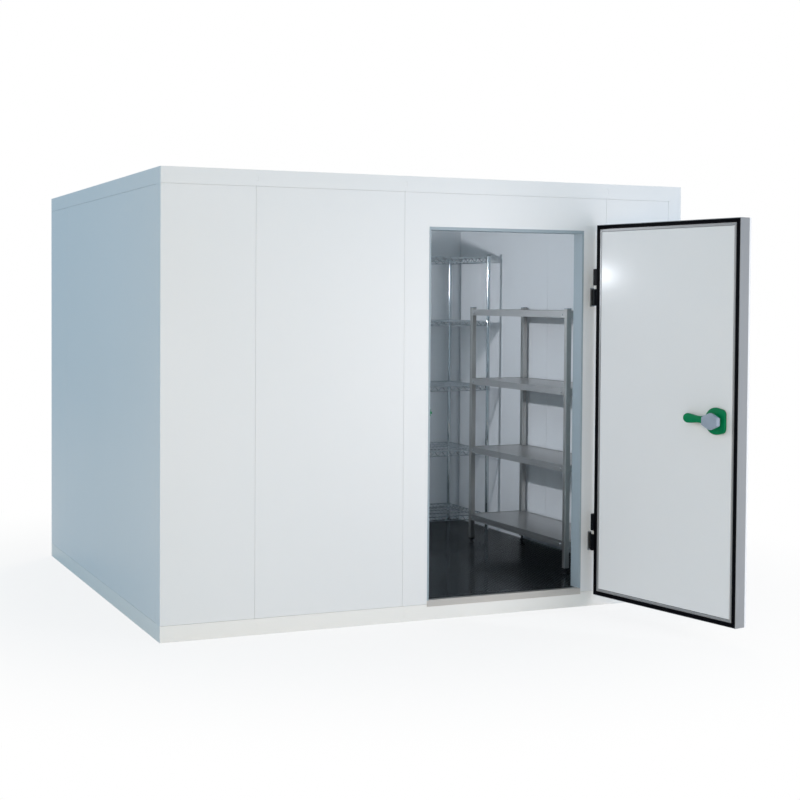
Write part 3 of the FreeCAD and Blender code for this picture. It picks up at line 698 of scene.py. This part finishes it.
# %% Turned masters, and a tree that places them
def turned_mesh(name, outline, segments=16):
    """Spins a half outline of (radius, height) about the Z axis. It starts and ends on the axis."""
    shape = bmesh.new()
    rings = []
    for radius, height in outline:
        if radius == 0:
            rings.append([shape.verts.new((0, 0, height))])
        else:
            turns = [2 * math.pi * step / segments for step in range(segments)]
            rings.append([shape.verts.new((radius * math.cos(turn), radius * math.sin(turn), height))
                          for turn in turns])
    for lower, upper in zip(rings, rings[1:]):
        for step in range(segments):
            following = (step + 1) % segments
            corners = [lower[step % len(lower)], lower[following % len(lower)],
                       upper[following % len(upper)], upper[step % len(upper)]]
            shape.faces.new(list(dict.fromkeys(corners)))
    bmesh.ops.recalc_face_normals(shape, faces=shape.faces)
    mesh = bpy.data.meshes.new(name)
    shape.to_mesh(mesh)
    shape.free()
    return mesh


place_tree, source, end = new_tree("place_copies", {"Master": "Object", "Material": "Material"})
master = add(place_tree, "GeometryNodeObjectInfo", {"Object": source.outputs["Master"]})
way = add(place_tree, "GeometryNodeInputNamedAttribute", {"Name": "facing"}, data_type="FLOAT_VECTOR")
facing_turn = add(place_tree, "FunctionNodeAlignRotationToVector", {"Vector": way.outputs[0]}, axis="Z")
copies = add(place_tree, "GeometryNodeInstanceOnPoints",
             {"Points": source.outputs["Geometry"], "Instance": master.outputs["Geometry"],
              "Rotation": facing_turn.outputs[0]})
close_tree(place_tree, copies.outputs[0], source, end)


def place_copies(name, master_mesh, places, material, body):
    """Copies of a master at places, each a pair of a point and the way it faces."""
    master_object = mesh_object(name + "_master", master_mesh)
    base = points_mesh(name, [point for point, way in places], [way for point, way in places])
    piece = grow(name, base, place_tree, {"Master": master_object, "Material": material}, body)
    bpy.data.objects.remove(master_object)
    return piece


def dome(radius, height, rim, steps=4):
    """The half outline of a domed head with a short straight rim, sunk a little at its foot."""
    sink = rim / 2
    angles = [math.pi / 2 * step / steps for step in range(steps)]
    arc = [(radius * math.cos(angle), rim + (height - rim) * math.sin(angle)) for angle in angles]
    return [(0, -sink), (radius, -sink), *arc, (0, height)]


post_cap_rim = 0.002
post_cap = turned_mesh("wire_post_caps", dome(post_r, post_r / 2, post_cap_rim), post_sides)
post_tops = [((x, y, post_high.z - post_r / 2), (0, 0, 1)) for x, y, z in post_places]
place_copies("wire_post_caps", post_cap, post_tops, foot_plastic, "room")

# %% [markdown]
# The tube rack is bolted together: two bolts at each end of every beam, with domed heads on the
# outer faces. Its square posts are closed on top by flat plastic caps with rounded corners. The beams
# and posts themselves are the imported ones.

# %% Bolts and caps of the tube rack
bolt_r = 0.0055
bolt_h = 0.0035
bolt_rim = 0.0008
bolt_sides = 14
bolt_down = 0.022
bolt_in = 0.052
cap_w = 0.0305
cap_t = 0.003
cap_sink = 0.0005
cap_round = 0.0012
tube_low, tube_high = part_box("tube_rack_posts")
tube_w = 0.030
bolt_places = []
for low, high in bundle_levels("tube_rack_shelves"):
    z = high - bolt_down
    for y, inwards in ((tube_low.y, 1), (tube_high.y, -1)):
        bolt_places.append(((tube_low.x, y + inwards * bolt_in, z), (-1, 0, 0)))
        bolt_places.append(((tube_high.x, y + inwards * bolt_in, z), (1, 0, 0)))
    for x, inwards in ((tube_low.x, 1), (tube_high.x, -1)):
        bolt_places.append(((x + inwards * bolt_in, tube_low.y, z), (0, -1, 0)))
        bolt_places.append(((x + inwards * bolt_in, tube_high.y, z), (0, 1, 0)))
bolt = turned_mesh("tube_rack_bolts", dome(bolt_r, bolt_h, bolt_rim), bolt_sides)
place_copies("tube_rack_bolts", bolt, bolt_places, bright_steel, "room")


def rounded(mesh, width, segments=2, angle=30.0):
    """Rounds the sharp edges of a mesh with a Bevel modifier, and keeps the result."""
    item = mesh_object("rounded", mesh)
    bevel = item.modifiers.new("edges", "BEVEL")
    bevel.width = width
    bevel.segments = segments
    bevel.limit_method = "ANGLE"
    bevel.angle_limit = math.radians(angle)
    result = bpy.data.meshes.new_from_object(item.evaluated_get(bpy.context.evaluated_depsgraph_get()))
    bpy.data.objects.remove(item)
    return result


def slab_mesh(name, outline, low, high):
    """An outline of (x, y) points made a closed slab between two heights."""
    shape = bmesh.new()
    face = shape.faces.new([shape.verts.new((x, y, low)) for x, y in outline])
    risen = bmesh.ops.extrude_face_region(shape, geom=[face])["geom"]
    risen_points = [item for item in risen if isinstance(item, bmesh.types.BMVert)]
    bmesh.ops.translate(shape, verts=risen_points, vec=(0, 0, high - low))
    bmesh.ops.recalc_face_normals(shape, faces=shape.faces)
    mesh = bpy.data.meshes.new(name)
    shape.to_mesh(mesh)
    shape.free()
    return mesh


half = cap_w / 2
cap_square = [(-half, -half), (half, -half), (half, half), (-half, half)]
cap_mesh = rounded(slab_mesh("tube_cap", cap_square, -cap_sink, cap_t), cap_round)
half = tube_w / 2
cap_places = [((x, y, tube_high.z), (0, 0, 1)) for x in (tube_low.x + half, tube_high.x - half)
              for y in (tube_low.y + half, tube_high.y - half)]
place_copies("tube_rack_caps", cap_mesh, cap_places, grey_plastic, "room")

# %% [markdown]
# Everything on the leaf is easiest to draw flat, as if the leaf lay on a table, and then to carry to
# its place. The release's axis in the record gives that place: a point on the leaf's inner face and
# the direction out of it. The third direction runs along the leaf towards its hinges.

# %% The leaf's own directions
release = next(joint for joint in frame["joints"] if joint["name"] == "release_turn")
swing = next(joint for joint in frame["joints"] if joint["name"] == "door_swing")
release_at = Vector(release["pos_m"])
out = Vector(release["axis"]).normalized()
upward = Vector((0.0, 0.0, 1.0))
along = upward.cross(out)
to_hinges = Vector(swing["pos_m"]) - release_at
if along.dot(to_hinges) < 0:
    along = -along
on_leaf = Matrix.Translation(release_at) @ Matrix((along, upward, out)).transposed().to_4x4()
mirrored = on_leaf.determinant() < 0
print("leaf turned", round(math.degrees(math.atan2(out.y, out.x)), 1), "degrees, mirrored", mirrored)

# %% [markdown]
# The release is what draws the eye on the white leaf: a green base, round towards the hinges and flat
# towards the edge, a green lever, and a grey six-sided cap over the hub. Moulded plastic never has a
# sharp edge, so base and cap are drawn as outlines, made thick and then rounded along their edges. The
# base's outline is a wide arc and two tighter corners, which meet it where both have one tangent.

# %% The release's base and cap
def outline_arc(radius, start, stop, steps):
    angles = [math.radians(start + (stop - start) * step / steps) for step in range(steps + 1)]
    return [(radius * math.cos(angle), radius * math.sin(angle)) for angle in angles]


def carry(mesh, name, material, place):
    """Moves a flat-drawn mesh to the leaf and gives it its material."""
    mesh.transform(place)
    if place.determinant() < 0:
        mesh.flip_normals()
    mesh.materials.clear()
    mesh.materials.append(material)
    return mesh_object(name, mesh)


base_r = 0.066
base_flat = 0.060
base_corner = 0.026
corner_y = 0.034
arc_steps = 40
corner_steps = 10
base_t = 0.016
base_edge = 0.0035
turn_gap = 0.0003
lever_t = 0.018
cap_half_w = 0.050
cap_half_h = 0.042
hub_t = 0.026
cap_side = 0.46
cap_edge = 0.0045
edge_steps = 4

corner_x = base_corner - base_flat
corner_away = math.hypot(corner_x, corner_y)
tangent = math.degrees(math.atan2(corner_y, corner_x) - math.acos((base_r - base_corner) / corner_away))
corner = [(corner_x + x, corner_y + y) for x, y in outline_arc(base_corner, tangent, 180.0, corner_steps)]
wide_arc = outline_arc(base_r, -tangent, tangent, arc_steps)
base_outline = wide_arc + corner + [(x, -y) for x, y in reversed(corner)]
base_mesh = rounded(slab_mesh("release_base", base_outline, 0.0, base_t), base_edge, segments=edge_steps)
release_base = carry(base_mesh, "release_base_cover", green_plastic, on_leaf)
settle(release_base, "door_leaf")
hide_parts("release_base")

side = cap_half_h * cap_side
cap_outline = [(-cap_half_w, -side), (0, -cap_half_h), (cap_half_w, -side),
               (cap_half_w, side), (0, cap_half_h), (-cap_half_w, side)]
cap_low = base_t + turn_gap + lever_t
cap_slab = slab_mesh("release_cap", cap_outline, cap_low, cap_low + hub_t)
hub_mesh = rounded(cap_slab, cap_edge, segments=edge_steps)
release_cap = carry(hub_mesh, "release_cap", grey_plastic, on_leaf)
settle(release_cap, "release_handle")
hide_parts("release_hub")

# %% [markdown]
# The lever holds the hub with a round root, narrows to a slim neck and widens again to a rounded end.
# A curve with a taper would keep its width and its thickness in step, and here each changes in its own
# way. So the lever is a row of cross sections, each an oval that is squared a little, and they stand
# closer together where the end curves in.

# %% The release's lever
lever_reach = 0.190
lever_root_w = 0.036
lever_neck = 0.090
lever_neck_w = 0.017
lever_tip_r = 0.024
lever_lift = math.radians(2.0)
root_r = 0.038
root_edge = 0.002
root_sides = 48
lever_sections = 44
ring_points = 24
thinnest = 0.0015
shoulder = 0.002
squareness = 0.6


def smooth_step(value):
    value = min(max(value, 0.0), 1.0)
    return value * value * (3 - 2 * value)


def lever_half_width(x):
    """Half the lever's width along its length: a root, a slim neck and a rounded end."""
    end_centre = lever_reach - lever_tip_r
    if x > end_centre:
        return math.sqrt(max(lever_tip_r ** 2 - (x - end_centre) ** 2, 0.0))
    if x < lever_neck:
        return lever_root_w + (lever_neck_w - lever_root_w) * smooth_step(x / lever_neck)
    share = smooth_step((x - lever_neck) / (end_centre - lever_neck))
    return lever_neck_w + (lever_tip_r - lever_neck_w) * share


def lever_mesh():
    """Cross sections with round shoulders, set close together where the end curves in."""
    shape = bmesh.new()
    rings = []
    for step in range(lever_sections + 1):
        x = lever_reach * math.sin(math.pi / 2 * step / lever_sections)
        half_w = max(lever_half_width(x), thinnest)
        half_t = min(lever_t / 2, half_w + shoulder)
        ring = []
        for corner in range(ring_points):
            angle = 2 * math.pi * corner / ring_points
            across, rise = math.cos(angle), math.sin(angle)
            square = max(abs(across), abs(rise)) ** squareness
            ring.append(shape.verts.new((x, half_w * across / square, lever_t / 2 + half_t * rise / square)))
        rings.append(ring)
    for lower, upper in zip(rings, rings[1:]):
        for corner in range(ring_points):
            following = (corner + 1) % ring_points
            shape.faces.new((lower[corner], lower[following], upper[following], upper[corner]))
    shape.faces.new(rings[0][::-1])
    shape.faces.new(rings[-1])
    bmesh.ops.recalc_face_normals(shape, faces=shape.faces)
    mesh = bpy.data.meshes.new("release_lever")
    shape.to_mesh(mesh)
    shape.free()
    return mesh


lift = Matrix.Translation((0.0, 0.0, base_t + turn_gap)) @ Matrix.Rotation(lever_lift, 4, "Z")
arm = carry(lever_mesh(), "release_arm", green_plastic, on_leaf @ lift)
root_disc = turned_mesh("release_root", [(0, 0), (root_r, 0), (root_r, lever_t), (0, lever_t)], root_sides)
root = carry(rounded(root_disc, root_edge), "release_root", green_plastic, on_leaf @ lift)
for piece in (arm, root):
    settle(piece, "release_handle")
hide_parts("release_lever")

# %% [markdown]
# A few screws are left. Each hinge plate has two beside its block, the keeper on the jamb has two, and
# the outside handle is screwed down at both ends of its plate. They have low domed heads. The latch
# rolls over a small green roller on the keeper, the only part of it that shows from outside.

# %% Screws
screw_r = 0.0042
screw_h = 0.0022
screw_rim = 0.0006
screw = turned_mesh("screw", dome(screw_r, screw_h, screw_rim))
plate_low, plate_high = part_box("hinge_plates")
hinge_bands = bundle_levels("hinge_plates")
hinge_screw_in = 0.005
hinge_screw_end = 0.014
hinge_places = [((plate_high.x - hinge_screw_in, plate_low.y, z), (0, -1, 0))
                for low, high in hinge_bands for z in (low + hinge_screw_end, high - hinge_screw_end)]
place_copies("hinge_screws", screw.copy(), hinge_places, bright_steel, "room")

keeper_low, keeper_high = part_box("latch_striker")
keeper_y = (keeper_low.y + keeper_high.y) / 2
keeper_screw_in = 0.008
keeper_places = [((keeper_high.x, keeper_y, z), (1, 0, 0))
                 for z in (keeper_low.z + keeper_screw_in, keeper_high.z - keeper_screw_in)]
place_copies("keeper_screws", screw.copy(), keeper_places, bright_steel, "room")
roller_r = 0.0075
roller_half = 0.0055
roller_edge = 0.001
roller = turned_mesh("keeper_roller", [
    (0, -roller_half), (roller_r - roller_edge, -roller_half), (roller_r, roller_edge - roller_half),
    (roller_r, roller_half - roller_edge), (roller_r - roller_edge, roller_half), (0, roller_half)], 24)
roller_place = (keeper_high.x, keeper_low.y + roller_r, (keeper_low.z + keeper_high.z) / 2)
place_copies("keeper_roller", roller, [(roller_place, (0, 0, 1))], green_plastic, "room")

outer_plate_half = 0.125
outer_screw_in = 0.014
outer_plate_t = 0.004
leaf_t = 0.075
outer_face = release_at - out * (leaf_t + outer_plate_t)
handle_places = [(tuple(outer_face + upward * z), tuple(-out))
                 for z in (outer_screw_in - outer_plate_half, outer_plate_half - outer_screw_in)]
place_copies("handle_screws", screw.copy(), handle_places, bright_steel, "door_leaf")

# %% [markdown]
# In the picture the room is lit by its own small lamp, and the shadows in it are deep. The two front
# lamps would shine in through the doorway and fill them. A studio hangs a black flag there. This flag
# is a plain sheet just inside the wall that only the shadow rays of lamps meet: no camera, no mirror
# and no bounced light sees it. Shadow linking spares the inner lamp, and the sky sends no shadow rays.

# %% Flag in the doorway
flag_margin = 0.02
flag_y = wall_face + 0.004
door_low, door_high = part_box("door_jamb_left")[0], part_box("door_jamb_right")[1]
flag_x = (door_low.x - flag_margin, door_high.x + flag_margin)
flag_z = (board_high.z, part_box("door_head_lining")[1].z + flag_margin)
flag_mesh = bpy.data.meshes.new("doorway_flag")
flag_mesh.from_pydata([(x, flag_y, z) for x, z in ((flag_x[0], flag_z[0]), (flag_x[1], flag_z[0]),
                                                   (flag_x[1], flag_z[1]), (flag_x[0], flag_z[1]))],
                      [], [(0, 1, 2, 3)])
flag = mesh_object("doorway_flag", flag_mesh)
for rays in ("camera", "diffuse", "glossy", "transmission", "volume_scatter"):
    setattr(flag, "visible_" + rays, False)
spared = bpy.data.collections.new("spared_by_flag")
spared.objects.link(flag)
spared.collection_objects[0].light_linking.link_state = "EXCLUDE"
for lamp in (room_lamp, rear_lamp):
    lamp.light_linking.blocker_collection = spared
world.cycles.sampling_method = "NONE"
print("flag over", [round(b - a, 2) for a, b in (flag_x, flag_z)], "m")

# %% [markdown]
# Last, the view layer is brought up to date.

# %% Bring the scene up to date
bpy.context.view_layer.update()
